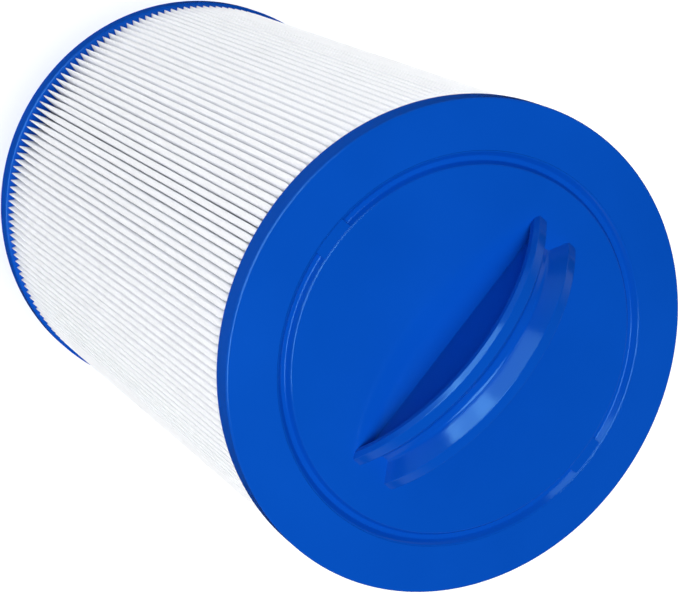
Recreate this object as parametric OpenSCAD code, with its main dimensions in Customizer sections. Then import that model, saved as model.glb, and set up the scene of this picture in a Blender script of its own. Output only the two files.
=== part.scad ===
// Pool and spa filter cartridge: a pleated fabric cylinder between two cast end caps,
// with a half-moon grip on the top plate and a male pipe thread under the bottom cap.
// Millimetres. Z runs up the cartridge's axis. The nipple's lower end is at Z = 0.
// The grip's chord lies along X.

/* [Overall] */
// Outside diameter of both end caps
cap_diameter = 150.8; // [120:0.1:180]
// Distance from the bottom cap's lower face to the top cap's rim
cap_to_cap_length = 220; // [150:1:400]
// Length of the threaded nipple below the bottom cap
nipple_length = 22; // [16:0.5:30]

/* [End caps] */
// Thickness of the top cap at its rim
top_cap_thickness = 7.6; // [5:0.1:15]
// Thickness of the bottom cap
bottom_cap_thickness = 6.4; // [5:0.1:15]
// Radius of the rounded edge on each cap's exposed face
cap_edge_radius = 0.6; // [0.3:0.1:2]
// Rise of the top cap's annulus from its rim to the handle plate
annulus_rise = 1.0; // [0:0.1:2]

/* [Handle plate] */
// Outside diameter of the moulded handle plate
plate_diameter = 120.6; // [100:0.1:140]
// Thickness of the handle plate
plate_thickness = 3.2; // [2:0.1:5]
// Diameter of the raised disc inside the ring groove
disc_diameter = 112.1; // [90:0.1:130]
// Depth of the ring groove
groove_depth = 1.7; // [0.5:0.1:2.5]
// Radial run of the groove's inner wall, which slopes down from the disc
groove_inner_run = 1.1; // [0.3:0.1:1.5]
// Radial run of the groove's outer wall, which slopes up to the cap
groove_outer_run = 1.8; // [0.3:0.1:2]
// Width of the two flat tabs that bridge the groove
tab_width = 11.8; // [5:0.1:20]
// Depth of the tabs below the disc
tab_drop = 0.4; // [0:0.1:1]
// Depth of the plate's plug inside the core
plug_depth = 8; // [4:0.5:20]

/* [Half-moon grip] */
// Chord of the grip on the disc
grip_chord = 90; // [60:1:110]
// Height of the grip above the disc
grip_height = 21.2; // [15:0.1:35]
// Thickness of the grip's web
web_thickness = 13.2; // [6:0.1:20]
// Width of the flange along the grip's curved edge
flange_width = 19; // [12:0.1:30]
// Thickness of the flange at its rim
flange_thickness = 2.9; // [1.5:0.1:6]
// Depth of the channel along the flange
channel_depth = 4.6; // [2:0.1:8]
// Width of the channel's floor
channel_floor_width = 2.6; // [1:0.1:6]
// Width of the channel's mouth between the two ridges
channel_mouth_width = 10.6; // [6:0.1:14]
// Width of the chamfer along each ridge's outer edge
ridge_chamfer_width = 1; // [0.3:0.1:1.2]
// Height of that chamfer
ridge_chamfer_height = 1.4; // [0.3:0.1:1.4]

/* [Pleats] */
// Number of pleats
pleat_count = 180; // [60:1:240]
// Diameter over the pleat tips
pleat_tip_diameter = 148.6; // [110:0.1:178]
// Diameter inside the inner folds
pleat_inner_diameter = 55.4; // [40:0.1:90]
// Radial depth over which a pleat's tip is free of its neighbours
free_tip_depth = 6.3; // [3:0.1:12]
// Thickness of the filter fabric
fabric_thickness = 0.4; // [0.3:0.05:0.8]
// Width of the slit between neighbouring pleats where they meet
pleat_slit = 0.2; // [0.1:0.05:0.5]

/* [Core] */
// Outside diameter of the core
core_outer_diameter = 55; // [40:0.5:80]
// Inside diameter of the core
core_inner_diameter = 45; // [36:0.5:74]
// Length of the spigot that joins one core segment to the next
core_spigot_length = 4; // [2:0.5:8]
// Number of window rows in each core segment
window_rows = 3; // [1:1:6]
// Number of windows in each row
windows_per_row = 8; // [4:1:16]
// Height of each window
window_height = 10; // [4:0.5:14]
// Width of each window
window_width = 11; // [4:0.5:14]

/* [Thread adapter] */
// Major diameter of the pipe thread
thread_diameter = 48.3; // [30:0.1:64]
// Pitch of the pipe thread
thread_pitch = 2.21; // [1:0.01:4]
// Depth of the thread
thread_depth = 1.4; // [0.5:0.1:2]
// Width of the flat crest on each thread ridge
thread_land = 0.5; // [0.2:0.05:0.8]
// Number of thread ridges
thread_ridges = 8; // [4:1:12]
// Diameter of the outlet bore
outlet_diameter = 38; // [25:0.5:56]
// Diameter of the adapter's flange
adapter_flange_diameter = 76; // [56:1:120]
// Thickness of the adapter's flange
adapter_flange_thickness = 3; // [2:0.1:5]
// Height of the adapter's collar inside the core
collar_height = 8; // [4:0.5:20]

/* [Hidden] */
$fn = 96;
cap_blue = [0.016, 0.286, 0.722];
plate_blue = [0.012, 0.263, 0.702];
fabric_white = [0.945, 0.953, 0.965];
core_white = [0.88, 0.89, 0.90];
core_segments = 4;
fit_gap = 0.05;
cap_radius = cap_diameter / 2;
bottom_face_z = nipple_length;
media_low_z = bottom_face_z + bottom_cap_thickness;
rim_z = bottom_face_z + cap_to_cap_length;
media_high_z = rim_z - top_cap_thickness;
disc_z = rim_z + annulus_rise;
plate_low_z = disc_z - plate_thickness;
groove_floor_z = disc_z - groove_depth;
plate_radius = plate_diameter / 2;
disc_radius = disc_diameter / 2;
core_outer_radius = core_outer_diameter / 2;
core_inner_radius = core_inner_diameter / 2;
core_step_radius = (core_outer_radius + core_inner_radius) / 2;
core_segment_length = (media_high_z - media_low_z) / core_segments;
plug_radius = core_inner_radius - fit_gap;
grip_radius = (pow(grip_chord / 2, 2) + pow(grip_height, 2)) / (2 * grip_height);
grip_centre_z = disc_z + grip_height - grip_radius;
pleat_angle = 360 / pleat_count;
tip_radius = pleat_tip_diameter / 2;
fold_radius = pleat_inner_diameter / 2;
shoulder_radius = tip_radius - free_tip_depth;
shoulder_half_width = (2 * PI * shoulder_radius / pleat_count - pleat_slit) / 2;
fold_half_angle = atan(shoulder_half_width / free_tip_depth);
inner_tip_radius = tip_radius - fabric_thickness / sin(fold_half_angle);

function polar(radius, angle) = [radius * cos(angle), radius * sin(angle)];
function half_angle(width, radius) = asin(width / 2 / radius);
function pitch_at(radius) = 2 * PI * radius / pleat_count;

// The rounded edge of a cap's exposed face, as a half profile in radius and height.
module cap_profile(low, high, hole, rounded_high, rise) {
    edge = cap_edge_radius;
    round_z = rounded_high ? high - edge : low + edge;
    difference() {
        polygon([[hole, low], [cap_radius, low], [cap_radius, high], [cap_radius - edge, high],
                 [hole, high + rise]]);
        translate([cap_radius - edge, rounded_high ? high - edge : low])
            square([edge + 1, edge]);
    }
    translate([cap_radius - edge, round_z])
        circle(r = edge);
}

// Cast ring that pots the upper ends of the pleats and holds the handle plate.
module top_end_cap() {
    color(cap_blue)
        difference() {
            rotate_extrude()
                cap_profile(media_high_z, rim_z, core_inner_radius,
                            true, annulus_rise * (cap_radius - core_inner_radius)
                            / (cap_radius - plate_radius));
            translate([0, 0, plate_low_z])
                cylinder(r = plate_radius, h = 2 * top_cap_thickness);
        }
}

// Cast ring that pots the lower ends of the pleats and the adapter's flange.
module bottom_end_cap() {
    color(cap_blue)
        difference() {
            rotate_extrude()
                cap_profile(bottom_face_z, media_low_z, core_inner_radius, false, 0);
            translate([0, 0, bottom_face_z - 1])
                cylinder(d = adapter_flange_diameter, h = adapter_flange_thickness + 1);
        }
}

// Plate profile: disc and sloped groove.
module plate_profile() {
    polygon([[0, plate_low_z], [plate_radius, plate_low_z], [plate_radius, disc_z],
             [plate_radius - groove_outer_run, groove_floor_z],
             [disc_radius + groove_inner_run, groove_floor_z],
             [disc_radius, disc_z], [0, disc_z]]);
}

module plate_plug() {
    plug_low_z = media_high_z - plug_depth;
    difference() {
        translate([0, 0, plug_low_z])
            cylinder(r = plug_radius, h = plate_low_z - plug_low_z + 0.1);
        translate([0, 0, plug_low_z - 1])
            cylinder(r = plug_radius - 2.5, h = plate_low_z - plug_low_z + 1);
    }
}

module plate_tab(side) {
    intersection() {
        difference() {
            translate([0, 0, plate_low_z])
                cylinder(r = plate_radius, h = plate_thickness - tab_drop);
            translate([0, 0, plate_low_z - 1])
                cylinder(r = disc_radius - 1, h = plate_thickness + 2);
        }
        translate([-tab_width / 2, side > 0 ? 0 : -plate_radius, plate_low_z - 1])
            cube([tab_width, plate_radius, plate_thickness + 2]);
    }
}

// Half profile of the grip, revolved about a line parallel to Y below the disc.
module grip_profile() {
    rim = grip_radius;
    lip = flange_width / 2;
    mouth = channel_mouth_width / 2;
    floor_half = channel_floor_width / 2;
    web = web_thickness / 2;
    for (side = [-1, 1])
        polygon([[0, 0], [rim - channel_depth, 0], [rim - channel_depth, side * floor_half],
                 [rim, side * mouth], [rim, side * (lip - ridge_chamfer_width)],
                 [rim - ridge_chamfer_height, side * lip],
                 [rim - flange_thickness, side * lip],
                 [rim - flange_thickness - 1, side * web], [0, side * web]]);
}

module grip() {
    intersection() {
        translate([0, 0, grip_centre_z])
            rotate([-90, 0, 0])
                rotate_extrude()
                    grip_profile();
        translate([-grip_chord, -flange_width, disc_z - 0.5])
            cube([2 * grip_chord, 2 * flange_width, 2 * grip_height]);
    }
}

// Moulded plate with the half-moon grip, the bridged ring groove and the core plug.
module handle_plate() {
    color(plate_blue)
        union() {
            rotate_extrude()
                plate_profile();
            plate_plug();
            plate_tab(1);
            plate_tab(-1);
            grip();
        }
}

// One folded sheet in a closed band, with both ends welded together.
module pleated_media() {
    slit_half = half_angle(pleat_slit, shoulder_radius);
    hollow_shoulder = half_angle(pitch_at(shoulder_radius) - pleat_slit - 2 * fabric_thickness,
                                 shoulder_radius);
    hollow_fold = half_angle(pitch_at(fold_radius) - 2 * fabric_thickness - 0.02, fold_radius);
    outer = [for (i = [0 : pleat_count - 1])
             let (a = (i + 0.5) * pleat_angle)
             each [polar(tip_radius, a),
                   polar(shoulder_radius, a + pleat_angle / 2 - slit_half),
                   polar(fold_radius + fabric_thickness, a + pleat_angle / 2),
                   polar(shoulder_radius, a + pleat_angle / 2 + slit_half)]];
    inner = [for (i = [0 : pleat_count - 1])
             let (a = (i + 0.5) * pleat_angle)
             each [polar(fold_radius, a - hollow_fold),
                   polar(shoulder_radius, a - hollow_shoulder),
                   polar(inner_tip_radius, a),
                   polar(shoulder_radius, a + hollow_shoulder),
                   polar(fold_radius, a + hollow_fold)]];
    color(fabric_white)
        translate([0, 0, media_low_z])
            linear_extrude(media_high_z - media_low_z)
                difference() {
                    polygon(outer);
                    polygon(inner);
                }
}

// One windowed core moulding: a spigot above, a socket below.
module core_segment(index) {
    low = media_low_z + index * core_segment_length;
    high = low + core_segment_length;
    last = index == core_segments - 1;
    socket = index == 0 ? 0 : core_spigot_length;
    spigot = last ? 0 : core_spigot_length;
    row_pitch = (core_segment_length - 2 * core_spigot_length) / window_rows;
    color(core_white)
        difference() {
            rotate_extrude()
                polygon([[core_step_radius + fit_gap, low], [core_outer_radius, low],
                         [core_outer_radius, high], [core_step_radius, high],
                         [core_step_radius, high + spigot], [core_inner_radius, high + spigot],
                         [core_inner_radius, low + socket],
                         [core_step_radius + fit_gap, low + socket]]);
            for (row = [0 : window_rows - 1])
                for (i = [0 : windows_per_row / 2 - 1])
                    rotate([0, 0, i * 360 / windows_per_row])
                        translate([-core_outer_radius - 1, -window_width / 2,
                                   low + core_spigot_length + (row + 0.5) * row_pitch
                                   - window_height / 2])
                            cube([core_outer_diameter + 2, window_width, window_height]);
        }
}

module core_segment_1() {
    core_segment(0);
}

module core_segment_2() {
    core_segment(1);
}

module core_segment_3() {
    core_segment(2);
}

module core_segment_4() {
    core_segment(3);
}

// Half profile of one thread ridge with a flat crest.
module thread_ridge(z) {
    root = thread_diameter / 2 - thread_depth;
    crest = thread_diameter / 2;
    polygon([[root - 0.2, z - thread_pitch / 2], [root, z - thread_pitch / 2],
             [crest, z - thread_land / 2], [crest, z + thread_land / 2],
             [root, z + thread_pitch / 2], [root - 0.2, z + thread_pitch / 2]]);
}

// Moulded adapter: threaded nipple, flange potted in the bottom cap, collar in the core.
module thread_adapter() {
    root = thread_diameter / 2 - thread_depth;
    bore = outlet_diameter / 2;
    flange_top = bottom_face_z + adapter_flange_thickness;
    collar_top = media_low_z + collar_height;
    color(core_white)
        rotate_extrude()
            union() {
                polygon([[bore, 0], [root - 0.8, 0], [root, 0.8], [root, bottom_face_z],
                         [adapter_flange_diameter / 2, bottom_face_z],
                         [adapter_flange_diameter / 2, flange_top], [plug_radius, flange_top],
                         [plug_radius, collar_top], [bore, collar_top]]);
                for (i = [0 : thread_ridges - 1])
                    thread_ridge(2.2 + i * thread_pitch);
            }
}

top_end_cap();
handle_plate();
pleated_media();
core_segment_1();
core_segment_2();
core_segment_3();
core_segment_4();
bottom_end_cap();
thread_adapter();
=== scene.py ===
"""Visual model of a pool and spa filter cartridge: blue end caps, half-moon grip, white pleats."""

import math

import bmesh
import bpy
import numpy as np
from mathutils import Euler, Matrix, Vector


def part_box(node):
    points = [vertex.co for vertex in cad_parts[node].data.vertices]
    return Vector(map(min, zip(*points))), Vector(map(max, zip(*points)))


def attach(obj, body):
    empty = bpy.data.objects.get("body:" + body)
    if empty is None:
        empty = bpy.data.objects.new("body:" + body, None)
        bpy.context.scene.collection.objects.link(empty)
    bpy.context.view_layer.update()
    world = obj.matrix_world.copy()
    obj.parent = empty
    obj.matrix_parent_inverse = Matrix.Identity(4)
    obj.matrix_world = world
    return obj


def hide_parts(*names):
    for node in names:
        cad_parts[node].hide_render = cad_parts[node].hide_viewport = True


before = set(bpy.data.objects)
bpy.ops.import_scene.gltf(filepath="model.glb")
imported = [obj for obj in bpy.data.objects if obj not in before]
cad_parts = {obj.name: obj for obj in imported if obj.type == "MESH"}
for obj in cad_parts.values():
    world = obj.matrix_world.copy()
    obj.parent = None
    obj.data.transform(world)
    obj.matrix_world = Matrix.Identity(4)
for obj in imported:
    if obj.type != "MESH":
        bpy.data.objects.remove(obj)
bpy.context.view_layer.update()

MM = 0.001
LATHE_STEPS = 360
PLEATS = 180

# Sizes that the boxes of the CAD nodes don't give, in millimetres.
CAP_EDGE = 0.55
CAP_LOWER_EDGE = 0.6
CAP_INNER_EDGE = 0.08
ANNULUS_RISE = 1.0
PLATE_RADIUS = 60.3
PLATE_THICKNESS = 3.2
DISC_RADIUS = 56.05
GROOVE_DEPTH = 1.7
GROOVE_INNER_RUN = 1.1
GROOVE_OUTER_RUN = 1.8
GROOVE_ROUNDING = 0.55
# Flat rim of the plate, where it meets the cap just below the cap's face.
LIP_WIDTH = 0.3
LIP_DROP = 0.02
# Clearance between a moulded piece and the recess or bore that holds it.
FIT_GAP = 0.05
TAB_WIDTH = 11.8
TAB_DROP = 0.4
GRIP_CHORD = 90.0
GRIP_HEIGHT = 21.2
WEB_THICKNESS = 13.2
FLANGE_WIDTH = 19.0
FLANGE_THICKNESS = 2.9
CHANNEL_DEPTH = 4.6
CHANNEL_FLOOR = 2.6
CHANNEL_MOUTH = 10.6
CHAMFER_WIDTH = 1.0
CHAMFER_HEIGHT = 1.4
TIP_ROUNDING = 2.2
CORE_INNER = 22.5
FLANGE_RADIUS = 38.0
FLANGE_HEIGHT = 3.0
PLUG_WALL = 2.5
FREE_TIP = 6.3
FOLD_RADIUS = 27.7
FABRIC = 0.4
SLIT = 0.2
# Lengths over which the pleats open out from the bottom cap and from the top cap.
OPENING_LOW = 25.0
OPENING_HIGH = 5.0
# Distance of a shading support point from the end of its run.
SUPPORT = 0.12


def millimetres(node):
    low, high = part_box(node)
    return [v / MM for v in low], [v / MM for v in high]


_, top_high = millimetres("top_end_cap")
bottom_low, bottom_high = millimetres("bottom_end_cap")
media_low, media_high = millimetres("pleated_media")
plate_low, _ = millimetres("handle_plate")
_, adapter_high = millimetres("thread_adapter")
CAP_RADIUS = top_high[0]
TIP_RADIUS = media_high[0]
DISC_Z = top_high[2]
RIM_Z = DISC_Z - ANNULUS_RISE
PLATE_Z = DISC_Z - PLATE_THICKNESS


def new_object(name, points, faces):
    """Mesh object from points in millimetres."""
    mesh = bpy.data.meshes.new(name)
    mesh.from_pydata([tuple(c * MM for c in p) for p in points], [], faces)
    mesh.validate()
    work = bmesh.new()
    work.from_mesh(mesh)
    bmesh.ops.remove_doubles(work, verts=work.verts, dist=1e-7)
    bmesh.ops.recalc_face_normals(work, faces=work.faces)
    work.to_mesh(mesh)
    work.free()
    obj = bpy.data.objects.new(name, mesh)
    bpy.context.scene.collection.objects.link(obj)
    return obj


def smooth(obj, degrees):
    for polygon in obj.data.polygons:
        polygon.use_smooth = True
    obj.data.set_sharp_from_angle(angle=math.radians(degrees))


def supported(line):
    """The polyline with a point close to both ends of each long run, so that shading stays flat there."""
    result = [line[0]]
    for start, end in zip(line, line[1:]):
        first = np.array(start)
        last = np.array(end)
        run = np.linalg.norm(last - first)
        if run > 4 * SUPPORT:
            step = (last - first) / run * SUPPORT
            result += [tuple(first + step), tuple(last - step)]
        result.append(end)
    return result


def rounded(corners, steps=5):
    """Polyline through corners (a, b, radius), each corner turned into an arc of that radius."""
    line = []
    for i, (a, b, radius) in enumerate(corners):
        here = np.array((a, b), float)
        if radius <= 0 or i in (0, len(corners) - 1):
            line.append(tuple(here))
            continue
        back = np.array(corners[i - 1][:2], float) - here
        ahead = np.array(corners[i + 1][:2], float) - here
        back /= np.linalg.norm(back)
        ahead /= np.linalg.norm(ahead)
        angle = math.acos(np.clip(back @ ahead, -1, 1))
        reach = radius / math.tan(angle / 2)
        middle = here + (back + ahead) / np.linalg.norm(back + ahead) * radius / math.sin(angle / 2)
        start = here + back * reach - middle
        end = here + ahead * reach - middle
        turn = math.acos(np.clip(start @ end / radius**2, -1, 1))
        for k in range(steps + 1):
            t = k / steps
            mix = (math.sin((1 - t) * turn) * start + math.sin(t * turn) * end) / math.sin(turn)
            line.append(tuple(middle + mix))
    return supported(line)


def lathe(name, profile, closed=True):
    """Solid of revolution about Z from (radius, height) points. An open profile ends on the axis."""
    points = []
    rings = []
    for radius, height in profile:
        if radius < 1e-6:
            rings.append([len(points)] * LATHE_STEPS)
            points.append((0, 0, height))
            continue
        rings.append(list(range(len(points), len(points) + LATHE_STEPS)))
        for k in range(LATHE_STEPS):
            angle = 2 * math.pi * k / LATHE_STEPS
            points.append((radius * math.cos(angle), radius * math.sin(angle), height))
    faces = []
    pairs = list(zip(rings, rings[1:]))
    if closed:
        pairs.append((rings[-1], rings[0]))
    for low, high in pairs:
        for k in range(LATHE_STEPS):
            n = (k + 1) % LATHE_STEPS
            face = []
            for v in (low[k], low[n], high[n], high[k]):
                if v not in face:
                    face.append(v)
            if len(face) > 2:
                faces.append(face)
    return new_object(name, points, faces)


def combine(target, operation, *others):
    """Unites target with the other solids, or intersects it with them, and removes them."""
    for other in others:
        modifier = target.modifiers.new("combine", "BOOLEAN")
        modifier.operation = operation
        modifier.solver = "EXACT"
        modifier.object = other
        view = bpy.context.evaluated_depsgraph_get()
        result = bpy.data.meshes.new_from_object(target.evaluated_get(view))
        target.modifiers.clear()
        target.data = result
        bpy.data.objects.remove(other)


# ---------------------------------------------------------------- end caps

def make_top_cap():
    under = media_high[2]
    profile = rounded([
        (CORE_INNER, under, 0),
        (CAP_RADIUS, under, CAP_LOWER_EDGE),
        (CAP_RADIUS, RIM_Z, CAP_EDGE),
        (PLATE_RADIUS, DISC_Z, CAP_INNER_EDGE),
        (PLATE_RADIUS, PLATE_Z, 0),
        (CORE_INNER, PLATE_Z, 0),
    ])
    obj = lathe("cap_ring_top", profile)
    smooth(obj, 35)
    return obj


def make_bottom_cap():
    top = bottom_high[2]
    low = bottom_low[2]
    # The first corner comes again at the end, so that the one before it is rounded too.
    profile = rounded([
        (CORE_INNER, top, 0),
        (CORE_INNER, low + FLANGE_HEIGHT, 0),
        (FLANGE_RADIUS, low + FLANGE_HEIGHT, 0),
        (FLANGE_RADIUS, low, 0.4),
        (CAP_RADIUS, low, CAP_EDGE),
        (CAP_RADIUS, top, CAP_LOWER_EDGE),
        (CORE_INNER, top, 0),
    ])
    obj = lathe("cap_ring_bottom", profile[:-1])
    smooth(obj, 35)
    return obj


# ------------------------------------------------------------ handle plate

def make_plate_base():
    floor = DISC_Z - GROOVE_DEPTH
    lip = DISC_Z - LIP_DROP
    rim = PLATE_RADIUS - FIT_GAP
    plug_radius = CORE_INNER - FIT_GAP
    plug_z = plate_low[2]
    profile = rounded([
        (0, PLATE_Z, 0),
        (plug_radius - PLUG_WALL, PLATE_Z, 0),
        (plug_radius - PLUG_WALL, plug_z, 0.5),
        (plug_radius, plug_z, 0.5),
        (plug_radius, PLATE_Z, 0),
        (rim, PLATE_Z, 0),
        (rim, lip, 0),
        (PLATE_RADIUS - LIP_WIDTH, lip, GROOVE_ROUNDING),
        (PLATE_RADIUS - GROOVE_OUTER_RUN, floor, GROOVE_ROUNDING),
        (DISC_RADIUS + GROOVE_INNER_RUN, floor, GROOVE_ROUNDING),
        (DISC_RADIUS, DISC_Z, GROOVE_ROUNDING),
        (0, DISC_Z, 0),
    ])
    return lathe("plate_base", profile, closed=False)


def make_tab(side):
    """Flat tab that bridges the ring groove, with softened top edges."""
    half = TAB_WIDTH / 2
    top = DISC_Z - TAB_DROP
    sunk = 0.5
    low = DISC_Z - GROOVE_DEPTH - sunk
    inner = DISC_RADIUS - 0.7
    outer = PLATE_RADIUS - FIT_GAP - 0.01
    edge = 0.3
    # Odd, so that no column stands on one of the plate's radial lines.
    columns = 17
    section = rounded([(inner, low, 0), (inner, top, 0), (outer, top, edge), (outer, low, 0)])
    points = []
    for k in range(columns + 1):
        x = half * (2 * k / columns - 1)
        for radius, height in section:
            y = math.sqrt(radius**2 - x**2)
            points.append((side * -x, side * y, height))
    count = len(section)
    faces = []
    for k in range(columns):
        for j in range(count):
            n = (j + 1) % count
            faces.append([k * count + j, k * count + n, (k + 1) * count + n, (k + 1) * count + j])
    faces.append(list(range(count)))
    faces.append(list(range(columns * count, (columns + 1) * count)))
    return new_object("tab", points, faces)


def grip_section():
    """Outline of the grip's flange as (radius from the grip's centre, Y)."""
    rim = (GRIP_CHORD / 2) ** 2 / (2 * GRIP_HEIGHT) + GRIP_HEIGHT / 2
    web = WEB_THICKNESS / 2
    lip = FLANGE_WIDTH / 2
    half = [
        (rim - FLANGE_THICKNESS - 2.0, web, 0),
        (rim - FLANGE_THICKNESS - 0.8, web, 0.5),
        (rim - FLANGE_THICKNESS, lip, 0.5),
        (rim - CHAMFER_HEIGHT, lip, 0.3),
        (rim, lip - CHAMFER_WIDTH, 0.3),
        (rim, CHANNEL_MOUTH / 2, 0.4),
        (rim - CHANNEL_DEPTH, CHANNEL_FLOOR / 2, 1.6),
    ]
    other = [(r, -y, e) for r, y, e in reversed(half)]
    return rim, rounded(half + other, steps=6)


def make_grip():
    rim, section = grip_section()
    centre_z = DISC_Z + GRIP_HEIGHT - rim
    sunk = 0.6
    base = DISC_Z - sunk
    # Odd, so that no station stands on one of the plate's radial lines.
    stations = 121
    count = len(section)
    points = []
    for radius, y in section:
        limit = math.acos((base - centre_z) / radius)
        for k in range(stations + 1):
            angle = limit * (2 * k / stations - 1)
            points.append((radius * math.sin(angle), y, centre_z + radius * math.cos(angle)))
    row = stations + 1
    faces = []
    for j in range(count - 1):
        for k in range(stations):
            a = j * row + k
            faces.append([a, a + 1, a + row + 1, a + row])
    # The web's two flat sides run from the first and last rows straight down to the base.
    feet = {}
    for j in (0, count - 1):
        feet[j] = [j * row]
        for k in range(1, stations):
            x, y, _ = points[j * row + k]
            feet[j].append(len(points))
            points.append((x, y, base))
        feet[j].append(j * row + stations)
        for k in range(stations):
            face = []
            for v in (feet[j][k], feet[j][k + 1], j * row + k + 1, j * row + k):
                if v not in face:
                    face.append(v)
            faces.append(face)
    left = [j * row for j in range(count)]
    right = [j * row + stations for j in range(count)]
    faces.append(left + feet[count - 1][1:-1] + right[::-1] + feet[0][1:-1][::-1])
    grip = new_object("grip", points, faces)
    combine(grip, "INTERSECT", make_grip_limit())
    return grip


def make_grip_limit():
    """Upright prism with rounded corners that rounds the ridges' tips in plan."""
    x = GRIP_CHORD / 2
    y = FLANGE_WIDTH / 2 + 0.01
    r = TIP_ROUNDING
    corners = [(0, -y, 0), (x, -y, r), (x, y, r), (-x, y, r), (-x, -y, r), (0, -y, 0)]
    outline = rounded(corners, steps=8)[:-1]
    count = len(outline)
    low = DISC_Z - 1.0
    high = DISC_Z + GRIP_HEIGHT + 1.0
    points = [(a, b, low) for a, b in outline] + [(a, b, high) for a, b in outline]
    faces = [[k, (k + 1) % count, (k + 1) % count + count, k + count] for k in range(count)]
    faces.append(list(range(count)))
    faces.append(list(range(count, 2 * count)))
    return new_object("grip_limit", points, faces)


def make_plate():
    obj = make_plate_base()
    combine(obj, "UNION", make_grip(), make_tab(1), make_tab(-1))
    obj.name = "grip_plate"
    smooth(obj, 32)
    return obj


# ------------------------------------------------------------------ pleats

def make_pleats():
    rng = np.random.default_rng(7)
    rows = 36
    low = media_low[2] + 0.01
    high = media_high[2] - 0.01
    pitch = 2 * math.pi / PLEATS
    shoulder = TIP_RADIUS - FREE_TIP
    shoulder_half = math.pi * shoulder / PLEATS - SLIT / 2
    # Outer half outline of one pleat at the caps: (depth below the tip, half width).
    flank = [(FREE_TIP, shoulder_half), (4.6, 0.85), (2.6, 0.54), (1.0, 0.31), (0.28, 0.19), (0.0, 0.0)]
    # Half widths of the same places where the pleats have opened between the caps.
    open_flank = [shoulder_half, 1.09, 1.11, 1.11, 0.84, 0.0]
    # Half outline of the hollow inside one pleat: (radius, half width).
    hollow = [
        (FOLD_RADIUS, math.pi * FOLD_RADIUS / PLEATS - FABRIC - 0.01),
        (shoulder, shoulder_half - FABRIC),
        (TIP_RADIUS - 2.3, 0.02),
    ]
    # Outline points are (radius, share of a pitch, sideways offset, offset gained when open).
    outer = [(FOLD_RADIUS + FABRIC, -0.5, 0.0, 0.0)]
    left = [(TIP_RADIUS - d, 0.0, -w, w - wide) for (d, w), wide in zip(flank, open_flank)]
    outer += left
    outer += [(r, turn, -side, -swell) for r, turn, side, swell in reversed(left[:-1])]
    inner = [(FOLD_RADIUS, -0.5, 0.0, 0.0)]
    inner += [(r, 0.0, -w, 0.0) for r, w in hollow]
    inner += [(r, 0.0, w, 0.0) for r, w in reversed(hollow)]
    wave = rng.uniform(0, 2 * math.pi, (3, PLEATS))
    lean = rng.normal(0, 0.035, PLEATS)
    depth = rng.normal(0, 0.05, PLEATS)
    per_outer = len(outer)
    per_inner = len(inner)
    loop = PLEATS * (per_outer + per_inner)
    points = []
    for j in range(rows + 1):
        t = j / rows
        z = low + (high - low) * t
        ends = math.sin(math.pi * t) ** 0.5
        below = (high - low) * t
        above = (high - low) * (1 - t)
        opened = min(1.0, below / OPENING_LOW, above / OPENING_HIGH) ** 0.9
        shift = lean * ends
        shift = shift + 0.05 * ends * np.sin(2 * math.pi * 1.3 * t + wave[0])
        shift = shift + 0.025 * ends * np.sin(2 * math.pi * 4.1 * t + wave[1])
        inset = ends * (0.06 + np.abs(depth) * 0.6 + 0.03 * np.sin(2 * math.pi * 2.2 * t + wave[2]))
        for outline in (outer, inner):
            for i in range(PLEATS):
                middle = (i + 0.5) * pitch
                for radius, turn, side, swell in outline:
                    weight = max(0.0, (radius - shoulder) / FREE_TIP)
                    r = radius - weight * inset[i]
                    across = side + opened * swell + weight * shift[i]
                    angle = middle + turn * pitch + across / radius
                    points.append((r * math.cos(angle), r * math.sin(angle), z))
    faces = []
    for j in range(rows):
        for start, per in ((0, per_outer), (PLEATS * per_outer, per_inner)):
            size = PLEATS * per
            for k in range(size):
                n = (k + 1) % size
                a = j * loop + start
                b = a + loop
                faces.append([a + k, a + n, b + n, b + k])
    for j in (0, rows):
        base = j * loop
        for i in range(PLEATS):
            n = (i + 1) % PLEATS
            face = [base + i * per_outer + k for k in range(per_outer)]
            face.append(base + n * per_outer)
            start = base + PLEATS * per_outer
            face.append(start + n * per_inner)
            face += [start + i * per_inner + k for k in range(per_inner - 1, -1, -1)]
            faces.append(face)
    obj = new_object("pleats", points, faces)
    smooth(obj, 50)
    return obj


# ----------------------------------------------------------------- adapter

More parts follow.
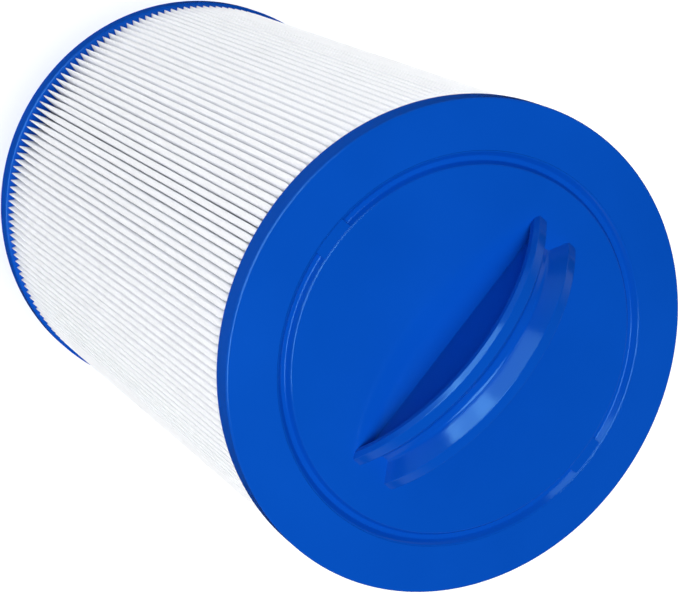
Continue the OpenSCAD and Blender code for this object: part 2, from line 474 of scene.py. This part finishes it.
def make_adapter():
    """Threaded nipple with a true helix, potted flange and collar, as one closed turn."""
    steps = 144
    bore = 19.0
    pitch = 2.21
    depth = 1.4
    crest = 24.15
    root = crest - depth
    flange_z = bottom_low[2]
    collar = CORE_INNER - FIT_GAP
    top = adapter_high[2]
    per_turn = 12
    rows = []
    thread_low = 1.2
    thread_high = flange_z - 2.4
    count = int((thread_high - thread_low) / pitch * per_turn)
    rows.append((bore, 0.5, False))
    rows.append((bore + 0.5, 0.0, False))
    rows.append((root - 1.0, 0.0, False))
    rows.append((root - 0.2, 0.7, False))
    for k in range(count + 1):
        rows.append((root, thread_low + (thread_high - thread_low) * k / count, True))
    tail = rounded([
        (root, thread_high + 0.4, 0),
        (root, flange_z, 0.6),
        (FLANGE_RADIUS - FIT_GAP, flange_z, 0),
        (FLANGE_RADIUS - FIT_GAP, flange_z + FLANGE_HEIGHT, 0),
        (collar, flange_z + FLANGE_HEIGHT, 0),
        (collar, top, 0.4),
        (bore, top, 0.4),
        (bore, 0.5, 0),
    ])[:-1]
    rows += [(r, z, False) for r, z in tail]
    points = []
    for radius, z, threaded in rows:
        for k in range(steps):
            turn = k / steps
            r = radius
            if threaded:
                phase = ((z - thread_low) / pitch - turn) % 1.0
                ridge = max(0.0, min(1.0, (0.5 - abs(phase - 0.5)) * 2.75 - 0.28))
                fade = min(1.0, (z - thread_low) / 1.6, (thread_high - z) / 1.6)
                r += depth * ridge * max(0.0, fade)
            angle = 2 * math.pi * turn
            points.append((r * math.cos(angle), r * math.sin(angle), z))
    faces = []
    size = len(rows)
    for j in range(size):
        m = (j + 1) % size
        for k in range(steps):
            n = (k + 1) % steps
            faces.append([j * steps + k, j * steps + n, m * steps + n, m * steps + k])
    obj = new_object("threaded_nipple", points, faces)
    smooth(obj, 40)
    return obj


# --------------------------------------------------------------- materials

def node_material(name):
    material = bpy.data.materials.new(name)
    material.use_nodes = True
    tree = material.node_tree
    shader = tree.nodes["Principled BSDF"]
    place = tree.nodes.new("ShaderNodeTexCoord")
    return material, tree, shader, place.outputs["Object"]


def noise(tree, place, scale, detail=4.0, rough=0.5):
    node = tree.nodes.new("ShaderNodeTexNoise")
    node.inputs["Scale"].default_value = scale
    node.inputs["Detail"].default_value = detail
    node.inputs["Roughness"].default_value = rough
    tree.links.new(place, node.inputs["Vector"])
    return node.outputs["Fac"]


def ramp(tree, source, stops):
    node = tree.nodes.new("ShaderNodeValToRGB")
    elements = node.color_ramp.elements
    while len(elements) < len(stops):
        elements.new(0.5)
    for element, (position, colour) in zip(elements, stops):
        element.position = position
        element.color = (*colour, 1.0)
    tree.links.new(source, node.inputs["Fac"])
    return node.outputs["Color"]


def spread(tree, source, low, high):
    node = tree.nodes.new("ShaderNodeMapRange")
    node.inputs["To Min"].default_value = low
    node.inputs["To Max"].default_value = high
    tree.links.new(source, node.inputs["Value"])
    return node.outputs["Result"]


def bump(tree, source, distance, strength, before=None):
    node = tree.nodes.new("ShaderNodeBump")
    node.inputs["Distance"].default_value = distance
    node.inputs["Strength"].default_value = strength
    tree.links.new(source, node.inputs["Height"])
    if before is not None:
        tree.links.new(before, node.inputs["Normal"])
    return node.outputs["Normal"]


def blue_material(name, deep, light, rough_low, rough_high, grain):
    material, tree, shader, place = node_material(name)
    clouds = noise(tree, place, 22, 3)
    tree.links.new(ramp(tree, clouds, [(0.3, deep), (0.7, light)]), shader.inputs["Base Color"])
    smears = noise(tree, place, 140, 5, 0.6)
    tree.links.new(spread(tree, smears, rough_low, rough_high), shader.inputs["Roughness"])
    fine = bump(tree, noise(tree, place, 2600, 2), 0.00004, grain)
    tree.links.new(bump(tree, noise(tree, place, 90, 2), 0.0004, 0.05, fine), shader.inputs["Normal"])
    shader.inputs["Specular IOR Level"].default_value = 0.5
    shader.inputs["Specular Tint"].default_value = (0.24, 0.68, 1.0, 1.0)
    return material


def fabric_material():
    material, tree, shader, place = node_material("spun_polyester")
    fibres = noise(tree, place, 1500, 6, 0.75)
    colour = ramp(tree, fibres, [(0.28, (0.84, 0.872, 0.96)), (0.62, (0.895, 0.92, 1.0))])
    tree.links.new(colour, shader.inputs["Base Color"])
    shader.inputs["Roughness"].default_value = 0.92
    shader.inputs["Subsurface Weight"].default_value = 0.8
    shader.inputs["Subsurface Radius"].default_value = (1, 1, 1)
    shader.inputs["Subsurface Scale"].default_value = 0.003
    shader.inputs["Sheen Weight"].default_value = 0.25
    shader.inputs["Sheen Roughness"].default_value = 0.5
    shader.inputs["Specular IOR Level"].default_value = 0.2
    felt = bump(tree, fibres, 0.00016, 0.55)
    tree.links.new(bump(tree, noise(tree, place, 420, 3), 0.0003, 0.25, felt), shader.inputs["Normal"])
    return material


def white_plastic(name, colour, rough):
    material, tree, shader, place = node_material(name)
    clouds = noise(tree, place, 60, 4)
    paler = tuple(min(1.0, c * 1.05) for c in colour)
    tree.links.new(ramp(tree, clouds, [(0.3, colour), (0.7, paler)]), shader.inputs["Base Color"])
    tree.links.new(spread(tree, noise(tree, place, 240, 4), rough, rough + 0.15),
                   shader.inputs["Roughness"])
    tree.links.new(bump(tree, noise(tree, place, 1800, 2), 0.00004, 0.2), shader.inputs["Normal"])
    return material


cap_blue = blue_material("cast_blue", (0.0012, 0.086, 0.57), (0.0020, 0.096, 0.62), 0.12, 0.18, 0.08)
plate_blue = blue_material("moulded_blue", (0.0010, 0.084, 0.56), (0.0018, 0.094, 0.61), 0.10, 0.15, 0.04)
fabric = fabric_material()
core_white = white_plastic("core_plastic", (0.72, 0.73, 0.74), 0.45)
adapter_white = white_plastic("adapter_plastic", (0.76, 0.77, 0.78), 0.3)

PIECES = [
    (make_top_cap, "top_end_cap", "end_cap", cap_blue),
    (make_bottom_cap, "bottom_end_cap", "end_cap", cap_blue),
    (make_plate, "handle_plate", "handle_plate", plate_blue),
    (make_pleats, "pleated_media", "pleats", fabric),
    (make_adapter, "thread_adapter", "adapter", adapter_white),
]
for build, node, slot, material in PIECES:
    piece = build()
    piece.data.materials.clear()
    piece.data.materials.append(material)
    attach(piece, "root")
    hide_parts(node)
for index in (1, 2, 3, 4):
    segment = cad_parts[f"core_segment_{index}"]
    segment.data.materials.clear()
    segment.data.materials.append(core_white)

# ------------------------------------------------------------ stage, light

def make_floor():
    reach = 4000
    points = [(-reach, -reach, 0), (reach, -reach, 0), (reach, reach, 0), (-reach, reach, 0)]
    obj = new_object("floor", points, [[0, 1, 2, 3]])
    material, tree, shader, place = node_material("pale_floor")
    tone = ramp(tree, noise(tree, place, 3, 2), [(0.3, (0.93, 0.93, 0.93)), (0.7, (0.95, 0.95, 0.95))])
    tree.links.new(tone, shader.inputs["Base Color"])
    shader.inputs["Roughness"].default_value = 0.9
    obj.data.materials.append(material)
    obj.visible_glossy = False


def area_light(name, azimuth, elevation, distance, target_z, width, height, radiance,
               only=None, blockers=None, gloss_only=False):
    """Soft light at a direction in degrees and a distance in metres from (0, 0, target_z), facing it.

    only holds the pieces that it lights, blockers those that shade it, and with gloss_only it shows
    only as a reflection.
    """
    across = math.cos(math.radians(elevation))
    direction = Vector((
        math.cos(math.radians(azimuth)) * across,
        math.sin(math.radians(azimuth)) * across,
        math.sin(math.radians(elevation)),
    ))
    data = bpy.data.lights.new(name, "AREA")
    data.shape = "RECTANGLE"
    data.size = width
    data.size_y = height
    data.energy = radiance * math.pi * width * height
    obj = bpy.data.objects.new(name, data)
    obj.location = Vector((0, 0, target_z)) + direction * distance
    obj.rotation_euler = (-direction).to_track_quat("-Z", "Y").to_euler()
    obj.visible_camera = False
    obj.visible_diffuse = not gloss_only
    if only is not None:
        obj.light_linking.receiver_collection = only
    if blockers is not None:
        obj.light_linking.blocker_collection = blockers
    bpy.context.scene.collection.objects.link(obj)


def make_world():
    """Studio surround: pale at the horizon, dim overhead and below."""
    world = bpy.data.worlds.new("studio")
    world.use_nodes = True
    tree = world.node_tree
    place = tree.nodes.new("ShaderNodeTexCoord")
    split = tree.nodes.new("ShaderNodeSeparateXYZ")
    height = ramp(tree, split.outputs["Z"], [
        (0.0, (0.01, 0.01, 0.01)),
        (0.02, (0.45, 0.45, 0.45)),
        (0.14, (0.45, 0.45, 0.45)),
        (0.35, (0.04, 0.04, 0.04)),
    ])
    tree.links.new(place.outputs["Generated"], split.inputs["Vector"])
    tree.links.new(height, tree.nodes["Background"].inputs["Strength"])
    tree.nodes["Background"].inputs["Color"].default_value = (1, 1, 1, 1)
    bpy.context.scene.world = world


def group(name, members):
    collection = bpy.data.collections.new(name)
    for member in members:
        collection.objects.link(bpy.data.objects[member])
    return collection


def make_lights():
    pleats = group("pleats_only", ["pleats"])
    ground = group("floor_only", ["floor"])
    moulded = group("moulded_pieces", ["cap_ring_top", "cap_ring_bottom", "grip_plate",
                                       "threaded_nipple"])
    face_z = 0.243
    middle_z = 0.12
    area_light("overhead", -50, 74, 1.4, face_z, 1.1, 0.9, 6.2, only=moulded)
    area_light("front_spot", -73, 22, 1.2, face_z, 0.44, 0.34, 4.6, gloss_only=True)
    area_light("low_strip", -85, 17, 1.2, face_z, 1.0, 0.16, 5.0, gloss_only=True)
    area_light("front_strip", -98, 29, 1.2, face_z, 0.9, 0.35, 2.4, gloss_only=True)
    area_light("floor_wash", 90, 89, 2.5, 0, 5.0, 5.0, 2.2, only=ground, blockers=ground)
    for turn in range(0, 360, 40):
        area_light(f"card_{turn}", turn, 25, 0.9, middle_z, 0.6, 0.45, 0.75, only=pleats)
    for turn in range(9, 369, 45):
        area_light(f"fabric_fill_{turn}", turn, 50, 0.9, middle_z, 0.6, 0.6, 0.98, only=pleats)


make_floor()
make_lights()
make_world()

camera_data = bpy.data.cameras.new("camera")
camera_data.lens = 108.86
camera_data.sensor_width = 36.0
camera = bpy.data.objects.new("camera", camera_data)
camera.location = (0.05368, -0.32954, RIM_Z * MM + 0.50364)
camera.rotation_euler = Euler([math.radians(v) for v in (-16.109, -25.386, 132.437)], "XYZ")
bpy.context.scene.collection.objects.link(camera)
bpy.context.scene.camera = camera
bpy.context.scene.view_settings.view_transform = "Standard"
bpy.context.scene.view_settings.look = "None"
